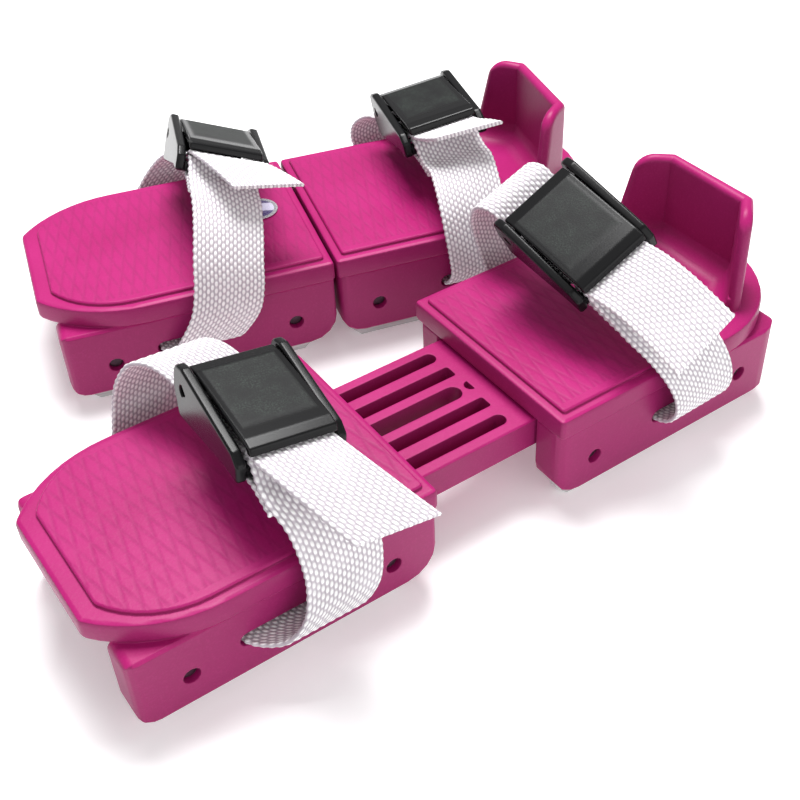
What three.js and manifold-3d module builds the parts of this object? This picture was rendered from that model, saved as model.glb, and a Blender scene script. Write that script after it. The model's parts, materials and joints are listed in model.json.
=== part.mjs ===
// A pair of child's strap-on skates: each has a front and a heel section on double runners,
// joined by a grooved extension plate, and two webbing straps with cam buckles.
// Millimetres, +Z up. The near skate lies along X with its toe towards -X.
import * as THREE from "three";
import { mergeVertices } from "three/addons/utils/BufferGeometryUtils.js";
import Module from "manifold-3d";

// ---- driving dimensions -------------------------------------------------
const PLATE_WIDTH = 80;
const PLATE_TOP = 39.4; // tread plate's upper face above the ice
const PLATE_THICK = 7.7;
const PAD_RISE = 1.4; // raised tread pad
const PAD_MARGIN = 3.4;
const EDGE_ROUND = 1.4;

const FRONT_LENGTH = 100; // rails of the front section
const TOE_OVERHANG = 3; // plate ahead of the rails
const TOE_ARC = 45; // radius of the toe's side curves
const HEEL_RAIL_LENGTH = 100.5;
const HEEL_ARC_START = HEEL_RAIL_LENGTH - 29; // where the heel's round end begins

const RAIL_THICK = 12.6;
const RAIL_OUTER = PLATE_WIDTH / 2 - 1; // from the centreline
const RAIL_INNER = RAIL_OUTER - RAIL_THICK;
const RAIL_BOTTOM = 5.2;
const RAIL_EDGE = 0.9;

const RUNNER_THICK = 3.2;
const RUNNER_GAP = 0.3;
const PIN_RADIUS = 2.45;
const HOLE_RADIUS = 2.8;
const PIN_RECESS = 2.2;
const PIN_HEIGHT = 16.6;
const HEEL_PIN_HEIGHT = 18.4; // rearmost pin of the heel section

const STRAP_WIDTH = 25;
const STRAP_THICK = 1.4;
const SLOT_LENGTH = STRAP_WIDTH + 3;
const SLOT_HEIGHT = 5.2;
const SLOT_BOTTOM = 16.6;
const STRAP_HEIGHT = 18.3; // centre of the webbing inside the slots
const FRONT_SLOT_X = -FRONT_LENGTH + 46.4;
const HEEL_SLOT_X = HEEL_RAIL_LENGTH - 46.1;

const SLIDE_CLEAR = 0.6; // between the extension plate and the rails and treads
const SLIDE_WIDTH = 2 * (RAIL_INNER - SLIDE_CLEAR);
const SLIDE_TOP = PLATE_TOP - PLATE_THICK - SLIDE_CLEAR;
const SLIDE_THICK = 11.4;
const SLIDE_REACH = 77; // ahead of the heel section
const SLIDE_TAIL = 44; // under the heel section
const GROOVE_WIDTH = 5.2;
const GROOVE_DEPTH = 8;
const GROOVE_PITCH = 9.6;
const GROOVE_END = 6.2; // from the heel section's front face
const STUD_X = -15.2; // lock stud, from the front section's rear edge
const SCREW_X = HEEL_SLOT_X - 24.4; // the screw under the heel plate

const CUP_HEIGHT = 33.4;
const CUP_WALL = 4.6;
const CUP_BACK_X = HEEL_RAIL_LENGTH - 3.5; // middle of the back wall
const CUP_HALF = 17.5; // half the back wall's width
const CUP_WING_FOOT = 20.5;
const CUP_WING_TOP = 12.5;
const CUP_WING_ANGLE = 47; // degrees from the back wall

const CHEEK_THICK = 3.2;
const BUCKLE_WIDTH = STRAP_WIDTH + 2 + 2 * CHEEK_THICK;

const GAP_NEAR = 46.9; // the near skate is drawn out
const GAP_FAR = 0.8; // the far skate is closed

const FAR_X = 47.5; // far skate's place beside the near one
const FAR_Y = 1.4325 * PLATE_WIDTH;
const FAR_TURN = -15; // degrees

const BADGE_RADIUS = 7.3;
const BADGE_THICK = 0.5;
const BADGE_X = -17.1; // from the front section's rear edge
const BADGE_Y = 3;

const CLEAR = 0.3; // gap between touching pieces

// ---- manifold helpers ---------------------------------------------------
const wasm = await Module();
wasm.setup();

function solid(geometry) {
  const plain = geometry.index ? geometry.toNonIndexed() : geometry.clone();
  plain.deleteAttribute("normal");
  plain.deleteAttribute("uv");
  const merged = mergeVertices(plain, 1e-4);
  return new wasm.Manifold(
    new wasm.Mesh({
      numProp: 3,
      vertProperties: new Float32Array(merged.attributes.position.array),
      triVerts: new Uint32Array(merged.index.array),
    }),
  );
}

function toGeometry(manifold) {
  const m = manifold.getMesh();
  const positions = new Float32Array(m.numVert * 3);
  for (let i = 0; i < m.numVert; i++) {
    for (let k = 0; k < 3; k++) {
      positions[3 * i + k] = m.vertProperties[m.numProp * i + k];
    }
  }
  const g = new THREE.BufferGeometry();
  g.setAttribute("position", new THREE.BufferAttribute(positions, 3));
  g.setIndex(new THREE.BufferAttribute(new Uint32Array(m.triVerts), 1));
  const flat = g.toNonIndexed();
  flat.computeVertexNormals();
  return flat;
}

const join = (list) => wasm.Manifold.union(list);
const cut = (body, list) => body.subtract(wasm.Manifold.union(list));

// ---- shape helpers ------------------------------------------------------
// A plan or side outline pushed along +Z, its edges rounded by round.
function pushed(outline, depth, round = 0, steps = 2, curve = 8) {
  const points = outline.getPoints(curve);
  const kept = points.filter((p, i) => p.distanceTo(points[(i + 1) % points.length]) > 0.02);
  const shape = new THREE.Shape(kept);
  return new THREE.ExtrudeGeometry(shape, {
    depth: depth - 2 * round,
    bevelEnabled: round > 0,
    bevelThickness: round,
    bevelSize: round,
    bevelOffset: -round,
    bevelSegments: steps,
    curveSegments: curve,
  }).translate(0, 0, round);
}

// An (x, z) outline pushed along Y from y0 to y1.
function pushedAcross(shape, y0, y1, round = 0, steps = 2, curve = 8) {
  const g = pushed(shape, y1 - y0, round, steps, curve);
  return g.rotateX(Math.PI / 2).translate(0, y1, 0);
}

// A polygon whose corner i is rounded by radii[i].
function roundedShape(points, radii) {
  const shape = new THREE.Shape();
  const n = points.length;
  points.forEach((point, i) => {
    const here = new THREE.Vector2(...point);
    const before = new THREE.Vector2(...points[(i + n - 1) % n]);
    const after = new THREE.Vector2(...points[(i + 1) % n]);
    const r = Array.isArray(radii) ? radii[i] : radii;
    const toBefore = before.clone().sub(here).normalize();
    const toAfter = after.clone().sub(here).normalize();
    const half = Math.acos(toBefore.dot(toAfter)) / 2;
    const run = r > 0 ? r / Math.tan(half) : 0;
    const a = here.clone().addScaledVector(toBefore, run);
    const b = here.clone().addScaledVector(toAfter, run);
    if (i === 0) shape.moveTo(a.x, a.y);
    else shape.lineTo(a.x, a.y);
    if (r > 0) {
      const k = (4 / 3) * Math.tan((Math.PI - 2 * half) / 4) * r;
      shape.bezierCurveTo(
        a.x - toBefore.x * k,
        a.y - toBefore.y * k,
        b.x - toAfter.x * k,
        b.y - toAfter.y * k,
        b.x,
        b.y,
      );
    }
  });
  shape.closePath();
  return shape;
}

function box(x0, x1, y0, y1, z0, z1) {
  const g = new THREE.BoxGeometry(x1 - x0, y1 - y0, z1 - z0);
  return g.translate((x0 + x1) / 2, (y0 + y1) / 2, (z0 + z1) / 2);
}

// A cylinder along Y or Z.
function rod(radius, a, b, axis, at, sides = 12) {
  const g = new THREE.CylinderGeometry(radius, radius, b - a, sides);
  if (axis === "z") g.rotateX(Math.PI / 2);
  const mid = (a + b) / 2;
  if (axis === "y") return g.translate(at[0], mid, at[1]);
  return g.translate(at[0], at[1], mid);
}

// A closed skin through rings of points, with a flat fan on each end.
function loft(rings) {
  const n = rings[0].length;
  const positions = [];
  const triangle = (a, b, c) => positions.push(...a.toArray(), ...b.toArray(), ...c.toArray());
  for (let i = 0; i + 1 < rings.length; i++) {
    for (let j = 0; j < n; j++) {
      const k = (j + 1) % n;
      triangle(rings[i][j], rings[i + 1][j], rings[i + 1][k]);
      triangle(rings[i][j], rings[i + 1][k], rings[i][k]);
    }
  }
  const middle = (ring) => ring.reduce((s, p) => s.add(p), new THREE.Vector3()).divideScalar(n);
  const first = rings[0];
  const last = rings[rings.length - 1];
  const c0 = middle(first);
  const c1 = middle(last);
  for (let j = 0; j < n; j++) {
    const k = (j + 1) % n;
    triangle(c0, first[j], first[k]);
    triangle(c1, last[k], last[j]);
  }
  const g = new THREE.BufferGeometry();
  g.setAttribute("position", new THREE.BufferAttribute(new Float32Array(positions), 3));
  const merged = mergeVertices(g, 1e-4);
  return merged;
}

// ---- materials ----------------------------------------------------------
const finish = {
  shell: { color: 0xd0207a, roughness: 0.42, metalness: 0 },
  steel: { color: 0xa9aeaa, roughness: 0.32, metalness: 0.9 },
  pin: { color: 0x3a2230, roughness: 0.5, metalness: 0.4 },
  webbing: { color: 0xf0edf0, roughness: 0.9, metalness: 0 },
  buckle: { color: 0x1c1e1d, roughness: 0.4, metalness: 0 },
  zinc: { color: 0xb9bcc0, roughness: 0.35, metalness: 0.9 },
  badge: { color: 0x8f86c8, roughness: 0.3, metalness: 0.3 },
};

function piece(name, manifold, look, parent) {
  const material = new THREE.MeshStandardMaterial(finish[look]);
  const mesh = new THREE.Mesh(toGeometry(manifold), material);
  mesh.name = name;
  parent.add(mesh);
  return mesh;
}

// ---- mouldings ----------------------------------------------------------
// Points along an arc, ends included.
function arcPoints(cx, cy, r, from, to, count) {
  return Array.from({ length: count + 1 }, (_, i) => {
    const t = from + ((to - from) * i) / count;
    return [cx + r * Math.cos(t), cy + r * Math.sin(t)];
  });
}

// Toe plan: straight sides, a long arc on each side and a short straight front.
function toeOutline(half, frontX, arc, arcX, rearX, rearRound) {
  const sweep = Math.acos(1 - (half - frontHalf(half)) / arc);
  const cy = half - arc;
  const near = arcPoints(arcX, -cy, arc, -Math.PI / 2, -Math.PI / 2 - sweep, 8);
  const last = near[near.length - 1];
  const run = last[0] - frontX;
  const corner = [frontX, last[1] + run * Math.tan(sweep)];
  const side = run > 0.2 ? [...near, corner] : near;
  const radii = side.map((_, i) => (i === side.length - 1 ? 3.6 : 0));
  const mirror = side.map(([x, y]) => [x, -y]).reverse();
  return roundedShape(
    [[rearX, -half], ...side, ...mirror, [rearX, half]],
    [rearRound, ...radii, ...[...radii].reverse(), rearRound],
  );
}

// Half the width where the side arc stops, just short of the straight front.
const frontHalf = (half) => half * 0.56;

function heelOutline(frontX, half, arcX, frontRound) {
  const arc = arcPoints(arcX, 0, half, -Math.PI / 2, Math.PI / 2, 22);
  const radii = arc.map(() => 0);
  return roundedShape(
    [[frontX, -half], ...arc, [frontX, half]],
    [frontRound, ...radii, frontRound],
  );
}

// One rail on the +Y side: its side profile met with its plan.
function rail(x0, x1, corners, plan) {
  const top = PLATE_TOP - PLATE_THICK + 0.5;
  const side = roundedShape(
    [[x0, RAIL_BOTTOM], [x1, RAIL_BOTTOM], [x1, top], [x0, top]],
    corners,
  );
  const body = solid(pushedAcross(side, RAIL_INNER, RAIL_OUTER, RAIL_EDGE, 1, 4));
  const outline = roundedShape(
    [[x0, RAIL_INNER], [x1, RAIL_INNER], [x1, RAIL_OUTER], [x0, RAIL_OUTER]],
    plan,
  );
  return body.intersect(solid(pushed(outline, 60, 0, 1, 4)));
}

const mirrored = (manifold) => manifold.mirror([0, 1, 0]);

// The runner's side outline: low blade with two ears that take the pins.
function runnerShape(x0, x1, pins, gap) {
  const low = -gap;
  const mid = 12.4 + gap;
  const ear = 5.4 + gap;
  const shape = new THREE.Shape();
  const [a, b] = pins;
  shape.moveTo(x0 + 4.6 - gap, low);
  shape.lineTo(x1 - 4.6 + gap, low);
  shape.lineTo(x1 + gap, 4.6);
  shape.lineTo(x1 + gap, b.z + 1.5);
  shape.lineTo(x1 - 3 + gap, b.z + ear);
  shape.lineTo(b.x - ear, b.z + ear);
  shape.lineTo(b.x - ear - 3, mid);
  shape.lineTo(a.x + ear + 3, mid);
  shape.lineTo(a.x + ear, a.z + ear);
  shape.lineTo(x0 + 3 - gap, a.z + ear);
  shape.lineTo(x0 - gap, a.z + 1.5);
  shape.lineTo(x0 - gap, 4.6);
  shape.closePath();
  return shape;
}

const RUNNER_Y = (RAIL_OUTER + RAIL_INNER) / 2;

function railCuts(pins, runner, slotX) {
  const cuts = [];
  const half = RUNNER_THICK / 2 + RUNNER_GAP;
  const groove = runnerShape(runner[0], runner[1], pins, RUNNER_GAP);
  cuts.push(solid(pushedAcross(groove, RUNNER_Y - half, RUNNER_Y + half)));
  cuts.push(solid(box(runner[0] - 0.3, runner[1] + 0.3, RUNNER_Y - half, RUNNER_Y + half, -2, 8)));
  for (const p of pins) {
    cuts.push(solid(rod(HOLE_RADIUS, RAIL_INNER + 2, RAIL_OUTER + 1, "y", [p.x, p.z], 12)));
  }
  const h = SLOT_HEIGHT / 2;
  const slot = roundedShape(
    [
      [slotX - SLOT_LENGTH / 2, SLOT_BOTTOM],
      [slotX + SLOT_LENGTH / 2, SLOT_BOTTOM],
      [slotX + SLOT_LENGTH / 2, SLOT_BOTTOM + SLOT_HEIGHT],
      [slotX - SLOT_LENGTH / 2, SLOT_BOTTOM + SLOT_HEIGHT],
    ],
    h - 0.05,
  );
  cuts.push(solid(pushedAcross(slot, RAIL_INNER - 1, RAIL_OUTER + 1, 0, 1, 3)));
  return cuts;
}

const FRONT_PINS = [
  { x: -FRONT_LENGTH + 17.2, z: PIN_HEIGHT },
  { x: -16.2, z: PIN_HEIGHT },
];
const HEEL_PINS = [
  { x: 15.6, z: PIN_HEIGHT },
  { x: HEEL_RAIL_LENGTH - 19.3, z: HEEL_PIN_HEIGHT },
];
const FRONT_RUNNER = [-FRONT_LENGTH + 4.5, -8.5];
const HEEL_RUNNER = [4.2, HEEL_RAIL_LENGTH - 8.5];

function frontSection() {
  const half = PLATE_WIDTH / 2;
  const frontX = -FRONT_LENGTH - TOE_OVERHANG;
  const arcX = frontX + 34.4;
  const plate = pushed(toeOutline(half, frontX, TOE_ARC, arcX, 0, 1.6), PLATE_THICK, EDGE_ROUND, 2, 3);
  plate.translate(0, 0, PLATE_TOP - PLATE_THICK);
  const padOutline = toeOutline(half - PAD_MARGIN, frontX + 5.5, 30, frontX + 31.2, -3, 1.2);
  const pad = pushed(padOutline, 3 + PAD_RISE, 0.5, 1, 2).translate(0, 0, PLATE_TOP - 3);
  const side = rail(-FRONT_LENGTH, -0.4, [6, 11, 1.2, 3], [1.2, 1.2, 1.6, 3.6]);
  const body = join([solid(plate), solid(pad), side, mirrored(side)]);
  const cuts = railCuts(FRONT_PINS, FRONT_RUNNER, FRONT_SLOT_X);
  const stud = solid(rod(3.1 + CLEAR, SLIDE_TOP - 2, PLATE_TOP - 2.4, "z", [STUD_X, 0], 16));
  return cut(body, [...cuts, ...cuts.map(mirrored), stud]);
}

// The heel cup's wall: a ring for each station along its plan, round on top and at its ends.
function cupStations() {
  const angle = THREE.MathUtils.degToRad(CUP_WING_ANGLE);
  const wing = new THREE.Vector2(-Math.sin(angle), Math.cos(angle));
  const side = [];
  const steps = [0, 0.35, 1.1, 2.2, 3.6, 5.4, 8];
  for (const end of steps) side.push({ wing: true, end });
  const rings = [];
  const base = PLATE_TOP - 4;
  const tall = CUP_HEIGHT + 4;
  const corner = 6.5;
  const at = (station, sign, f) => {
    const reachFoot = CUP_WING_FOOT - station.end;
    const reachTop = CUP_WING_TOP - station.end;
    const reach = reachFoot + (reachTop - reachFoot) * f;
    return new THREE.Vector2(CUP_BACK_X + wing.x * reach, sign * (CUP_HALF + wing.y * reach));
  };
  const across = (sign) => new THREE.Vector2(wing.y, -sign * wing.x).normalize();
  const ring = (place, outward, thick, high) => {
    const r = thick / 2;
    const pts = [];
    const section = [[-r, 0], [-r, 0.55 * (high - r)]];
    for (let k = 0; k <= 6; k++) {
      const t = Math.PI - (Math.PI * k) / 6;
      section.push([r * Math.cos(t), high - r + r * Math.sin(t)]);
    }
    section.push([r, 0.55 * (high - r)], [r, 0]);
    for (const [off, up] of section) {
      const f = up / tall;
      const p = place(f);
      pts.push(new THREE.Vector3(p.x + outward.x * off, p.y + outward.y * off, base + up));
    }
    return pts;
  };
  const wingRings = (sign) =>
    side.map((s) => {
      const e = Math.min(s.end, CUP_WALL / 2);
      const r = CUP_WALL / 2;
      const thick = 2 * Math.sqrt(Math.max(0.09, r * r - (r - e) * (r - e)));
      const c = Math.max(0, corner - s.end);
      const high = tall - corner + Math.sqrt(corner * corner - c * c);
      return ring((f) => at(s, sign, f), across(sign), thick, high);
    });
  // the bend between wing and back wall, in three stations
  const bend = (sign) => {
    const list = [];
    const a = across(sign);
    for (const k of [0.12, 0.5, 0.88]) {
      const turn = new THREE.Vector2(1, 0).multiplyScalar(k).addScaledVector(a, 1 - k).normalize();
      const stretch = 1 / Math.cos(THREE.MathUtils.degToRad(CUP_WING_ANGLE) / 4);
      const reach = 2.2 * (0.5 - k);
      const x = CUP_BACK_X + (reach > 0 ? wing.x * reach : 0);
      const y = CUP_HALF + (reach > 0 ? wing.y * reach : reach);
      const p = new THREE.Vector2(x, sign * y);
      list.push(ring(() => p, turn.multiplyScalar(k === 0.5 ? stretch : 1), CUP_WALL, tall));
    }
    return list;
  };
  rings.push(...wingRings(-1), ...bend(-1));
  rings.push(...bend(1).reverse(), ...wingRings(1).reverse());
  return rings;
}

// A hollow-cornered strip that eases the cup's inner foot into the tread.
function cupFillet() {
  const angle = THREE.MathUtils.degToRad(CUP_WING_ANGLE);
  const wing = new THREE.Vector2(-Math.sin(angle), Math.cos(angle));
  const inner = CUP_BACK_X - CUP_WALL / 2;
  const size = 7.5;
  const section = [[1.2, -1.5], [-size, -1.5], [-size, 0]];
  for (let k = 1; k <= 5; k++) {
    const t = (Math.PI / 2) * (k / 5);
    section.push([-size + size * Math.sin(t), size - size * Math.cos(t)]);
  }
  section.push([1.2, size]);
  const shift = (CUP_WALL / 2) * Math.tan(angle / 2);
  const cornerY = CUP_HALF - shift;
  const stations = [];
  const reach = CUP_WING_FOOT - 3;
  const mitre = new THREE.Vector2(1, Math.tan(angle / 2));
  stations.push([inner + wing.x * reach, -(cornerY + wing.y * reach), wing.y, wing.x, 0.55]);
  stations.push([inner + wing.x * reach * 0.7, -(cornerY + wing.y * reach * 0.7), wing.y, wing.x, 1]);
  stations.push([inner, -cornerY, mitre.x, -mitre.y, 1]);
  stations.push([inner, cornerY, mitre.x, mitre.y, 1]);
  stations.push([inner + wing.x * reach * 0.7, cornerY + wing.y * reach * 0.7, wing.y, -wing.x, 1]);
  stations.push([inner + wing.x * reach, cornerY + wing.y * reach, wing.y, -wing.x, 0.55]);
  const top = PLATE_TOP;
  return loft(
    stations.map(([x, y, dx, dy, grow]) =>
      section.map(([off, up]) => {
        const o = off < 0 ? off * grow : off;
        const u = up > 0 ? up * grow : up;
        return new THREE.Vector3(x + dx * o, y + dy * o, top + u);
      }),
    ),
  );
}

function upright(geometry) {
  const made = solid(geometry);
  if (made.volume() > 0) return made;
  const p = geometry.toNonIndexed().attributes.position;
  for (let i = 0; i < p.count; i += 3) {
    const a = new THREE.Vector3().fromBufferAttribute(p, i + 1);
    const b = new THREE.Vector3().fromBufferAttribute(p, i + 2);
    p.setXYZ(i + 1, b.x, b.y, b.z);
    p.setXYZ(i + 2, a.x, a.y, a.z);
  }
  const g = new THREE.BufferGeometry();
  g.setAttribute("position", p);
  return solid(g);
}

function heelSection() {
  const half = PLATE_WIDTH / 2;
  const plate = pushed(heelOutline(0, half, HEEL_ARC_START, 1.6), PLATE_THICK, EDGE_ROUND, 2, 3);
  plate.translate(0, 0, PLATE_TOP - PLATE_THICK);
  const padHalf = half - PAD_MARGIN;
  const padEnd = HEEL_ARC_START + 5.5;
  const padShape = roundedShape(
    [[3, -padHalf], [padEnd, -padHalf], [padEnd, padHalf], [3, padHalf]],
    [1.2, 14, 14, 1.2],
  );
  const pad = pushed(padShape, 3 + PAD_RISE, 0.5, 1, 5).translate(0, 0, PLATE_TOP - 3);
  const side = rail(0.4, HEEL_RAIL_LENGTH, [9, 10, 3, 1.2], [1.2, 1.2, 9, 4.6]);
  const body = join([
    solid(plate),
    solid(pad),
    side,
    mirrored(side),
    upright(loft(cupStations())),
    upright(cupFillet()),
  ]);
  const cuts = railCuts(HEEL_PINS, HEEL_RUNNER, HEEL_SLOT_X);
  const screw = solid(rod(2.2 + CLEAR, SLIDE_TOP - 1, PLATE_TOP - 2.4, "z", [SCREW_X, 0], 12));
  return cut(body, [...cuts, ...cuts.map(mirrored), screw]);
}

// ---- extension plate and its fastenings ---------------------------------
function extensionPlate() {
  const z0 = SLIDE_TOP - SLIDE_THICK;
  const slab = pushed(
    roundedShape(
      [
        [-SLIDE_REACH, -SLIDE_WIDTH / 2],
        [SLIDE_TAIL, -SLIDE_WIDTH / 2],
        [SLIDE_TAIL, SLIDE_WIDTH / 2],
        [-SLIDE_REACH, SLIDE_WIDTH / 2],
      ],
      1.5,
    ),
    SLIDE_THICK,
    0.5,
    1,
    4,
  ).translate(0, 0, z0);
  const cuts = [];
  for (let i = -2; i <= 2; i++) {
    const end = i === 0 ? -GROOVE_END - 3.4 : -GROOVE_END;
    const y = i * GROOVE_PITCH;
    const w = i === 0 ? 6.6 : GROOVE_WIDTH;
    const rounds = i === 0 || Math.abs(i) === 2 ? w / 2 - 0.05 : 0.9;
    const outline = roundedShape(
      [[-70, y - w / 2], [end, y - w / 2], [end, y + w / 2], [-70, y + w / 2]],
      [w / 2 - 0.05, rounds, rounds, w / 2 - 0.05],
    );
    const floor = i === 0 ? -1 : SLIDE_THICK - GROOVE_DEPTH;
    cuts.push(solid(pushed(outline, 20, 0, 1, 4).translate(0, 0, z0 + floor)));
  }
  const dimple = new THREE.Shape();
  dimple.absarc(-5.4, 0, 2.3, Math.PI / 2, (3 * Math.PI) / 2, false);
  cuts.push(solid(pushed(dimple, 10, 0, 1, 8).translate(0, 0, SLIDE_TOP - 2.4)));
  cuts.push(solid(rod(2.2 + CLEAR, z0 - 1, SLIDE_TOP + 1, "z", [SCREW_X, 0], 12)));
  return cut(solid(slab), cuts);
}

const WASHER_Z = SLIDE_TOP - SLIDE_THICK - CLEAR;
const WASHER_THICK = 1.2;

function lockStud() {
  return join([solid(rod(2.9, 8.4, PLATE_TOP - 2.8, "z", [STUD_X, 0], 12))]);
}

function washer() {
  const disc = solid(rod(8, WASHER_Z - WASHER_THICK, WASHER_Z, "z", [STUD_X, 0], 16));
  return cut(disc, [solid(rod(3.3, 0, 40, "z", [STUD_X, 0], 12))]);
}

function wingNut() {
  const top = WASHER_Z - WASHER_THICK - CLEAR;
  const hub = solid(rod(5.2, top - 5.2, top, "z", [0, 0], 12));
  const corners = [[3.5, 0.4], [8, 0.8], [13.2, 3.6], [13.4, 8], [9.8, 8], [3.5, 4.8]];
  const wingShape = roundedShape(corners, [0, 1, 2, 1.6, 1.6, 0]);
  const one = solid(pushedAcross(wingShape, -1.1, 1.1, 0, 1, 2)).mirror([0, 0, 1]).translate([0, 0, top]);
  const body = join([hub, one, one.mirror([1, 0, 0])]);
  return cut(body, [solid(rod(3.2, -20, 40, "z", [0, 0], 12))]).translate([STUD_X, 0, 0]);
}

function plateScrew() {
  const z0 = SLIDE_TOP - SLIDE_THICK;
  const head = solid(rod(4.4, z0 - CLEAR - 0.9, z0 - CLEAR, "z", [SCREW_X, 0], 16));
  return join([head, solid(rod(2.2, z0 - CLEAR - 0.3, PLATE_TOP - 2.8, "z", [SCREW_X, 0], 12))]);
}

function runner(range, pins) {
  const half = RUNNER_THICK / 2;
  const blade = solid(pushedAcross(runnerShape(range[0], range[1], pins, 0), -half, half));
  const holes = pins.map((p) => solid(rod(PIN_RADIUS + CLEAR, -5, 5, "y", [p.x, p.z], 12)));
  return cut(blade, holes);
}

// ---- cam buckle, in its own frame ----------------------------------------
// x across the webbing, y from the lip (-) to the hinge (+), z up; z = 0 is the frame's underside.
const HINGE_Y = 13;
const HINGE_Z = 10.2;
const HALF_W = BUCKLE_WIDTH / 2;
const INNER = HALF_W - CHEEK_THICK;

function buckleFrame() {
  const cheek = roundedShape(
    [[-21.5, -1.6], [-13, 0], [17.5, 0], [20, 9], [18, 17.2], [12.5, 17.6], [-19, 7.4], [-22, 4.2]],
    [1.2, 0, 2, 6, 3.2, 2, 2.6, 1.5],
  );
  const sides = [-1, 1].map((s) => {
    const y0 = s < 0 ? -HALF_W : INNER;
    return solid(pushedAcross(cheek, y0, y0 + CHEEK_THICK, 0.5, 1, 2));
  });
  const base = solid(box(-10.5, 17, -INNER - 1, INNER + 1, 0, 2));
  const bar = roundedShape([[-20.6, -1.4], [-16, -1.4], [-16, 2.4], [-20.6, 2.4]], 1.1);
  const front = solid(pushedAcross(bar, -INNER - 1, INNER + 1, 0, 1, 3));
  const all = join([...sides, base, front]);
  const holes = [solid(rod(1.9, -30, 30, "y", [HINGE_Y, HINGE_Z], 10))];
  return cut(all, holes).rotate([0, 0, 90]).mirror([1, 0, 0]);
}

function camLever() {
  const w = INNER - 0.45;
  const plate = roundedShape(
    [
      [-23.6, 7],
      [-21.4, 6.8],
      [-20.4, 8.4],
      [10, 13.4],
      [16.4, 13.1],
      [16.4, 16.1],
      [11, 16.4],
      [-19.8, 10.7],
      [-23.2, 9.4],
    ],
    [0.6, 0.6, 0.6, 1, 0.6, 1, 1.5, 3, 1.4],
  );
  const lid = solid(pushedAcross(plate, -w, w, 0.35, 1, 2));
  const cam = solid(rod(5, -w + 1.6, w - 1.6, "y", [HINGE_Y - 0.8, HINGE_Z - 0.8], 14));
  const web = solid(box(HINGE_Y - 4, HINGE_Y + 3, -w + 1.6, w - 1.6, HINGE_Z, 14.4));
  const hole = solid(rod(1.9, -30, 30, "y", [HINGE_Y, HINGE_Z], 10));
  return cut(join([lid, cam, web]), [hole]).rotate([0, 0, 90]).mirror([1, 0, 0]);
}

function leverPin() {
  return solid(rod(1.55, -HALF_W + 1.2, HALF_W - 1.2, "y", [HINGE_Y, HINGE_Z], 10))
    .rotate([0, 0, 90])
    .mirror([1, 0, 0]);
}

// ---- webbing ------------------------------------------------------------
// Webbing round the frame's front bar, then the points given by the strap, in buckle coordinates.
const HEM = [[-31, -7.2], [-26, -5.2], [-21.5, -3.5], [-17.5, -2.95], [-14.9, -1.6], [-14.1, 0.6],
  [-15.2, 2.9], [-18, 3.75], [-20.6, 3.3], [-22.4, 1.4], [-24.5, -1.2], [-29, -4]];
const THROUGH = [[24, 1.6], [19, 2.9], [14, 3], [0, 3], [-8, 3.05], [-13.5, 4.5], [-18, 5.6], [-22, 5.7]];

// The straps' points were laid for a plate of this width and height and for slots at these places,
// and they follow the real ones.
const LAID_WIDTH = 80;
const LAID_TOP = 39.4;
const LAID_SLOT_X = { front: -53.6, heel: 54.4 };

function laid([x, y, z], half) {
  const shift = (half === "front" ? FRONT_SLOT_X : HEEL_SLOT_X) - LAID_SLOT_X[half];
  const share = THREE.MathUtils.clamp((z - STRAP_HEIGHT) / (LAID_TOP - STRAP_HEIGHT), 0, 1);
  const wide = y + Math.sign(y) * Math.min(1, Math.abs(y) / 20) * ((PLATE_WIDTH - LAID_WIDTH) / 2);
  return new THREE.Vector3(x + shift, wide, z + share * (PLATE_TOP - LAID_TOP));
}

function strapStations(strap) {
  const turn = new THREE.Euler(
    ...strap.turn.map((d) => THREE.MathUtils.degToRad(d)),
    "ZYX",
  );
  const spin = new THREE.Quaternion().setFromEuler(turn);
  const place = laid(strap.at, strap.half);
  const inBuckle = (y, z) => new THREE.Vector3(0, y, z).applyQuaternion(spin).add(place);
  const cross = new THREE.Vector3(1, 0, 0).applyQuaternion(spin);
  const keys = [];
  for (const [y, z] of HEM) keys.push([inBuckle(y, z), cross]);
  const lay = (part) => part.forEach((p) => keys.push([laid(p, strap.half), widthAt(p[3])]));
  const slotX = strap.half === "front" ? FRONT_SLOT_X : HEEL_SLOT_X;
  lay(strap.near);
  const flat = new THREE.Vector3(1, 0, 0);
  const inSlot = [-RAIL_OUTER, -RAIL_INNER, 0, RAIL_INNER, RAIL_OUTER];
  for (const y of inSlot) keys.push([new THREE.Vector3(slotX, y, STRAP_HEIGHT), flat]);
  lay(strap.far);
  for (const [y, z] of THROUGH) keys.push([inBuckle(y, z), cross]);
  lay(strap.tail);
  return keys;
}

// A unit vector across the webbing, from +X by [yaw, roll] degrees; roll lowers its +X side.
function widthAt([yaw, roll] = [0, 0]) {
  const a = THREE.MathUtils.degToRad(yaw);
  const b = THREE.MathUtils.degToRad(roll);
  return new THREE.Vector3(Math.cos(a) * Math.cos(b), Math.sin(a) * Math.cos(b), -Math.sin(b));
}

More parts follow.
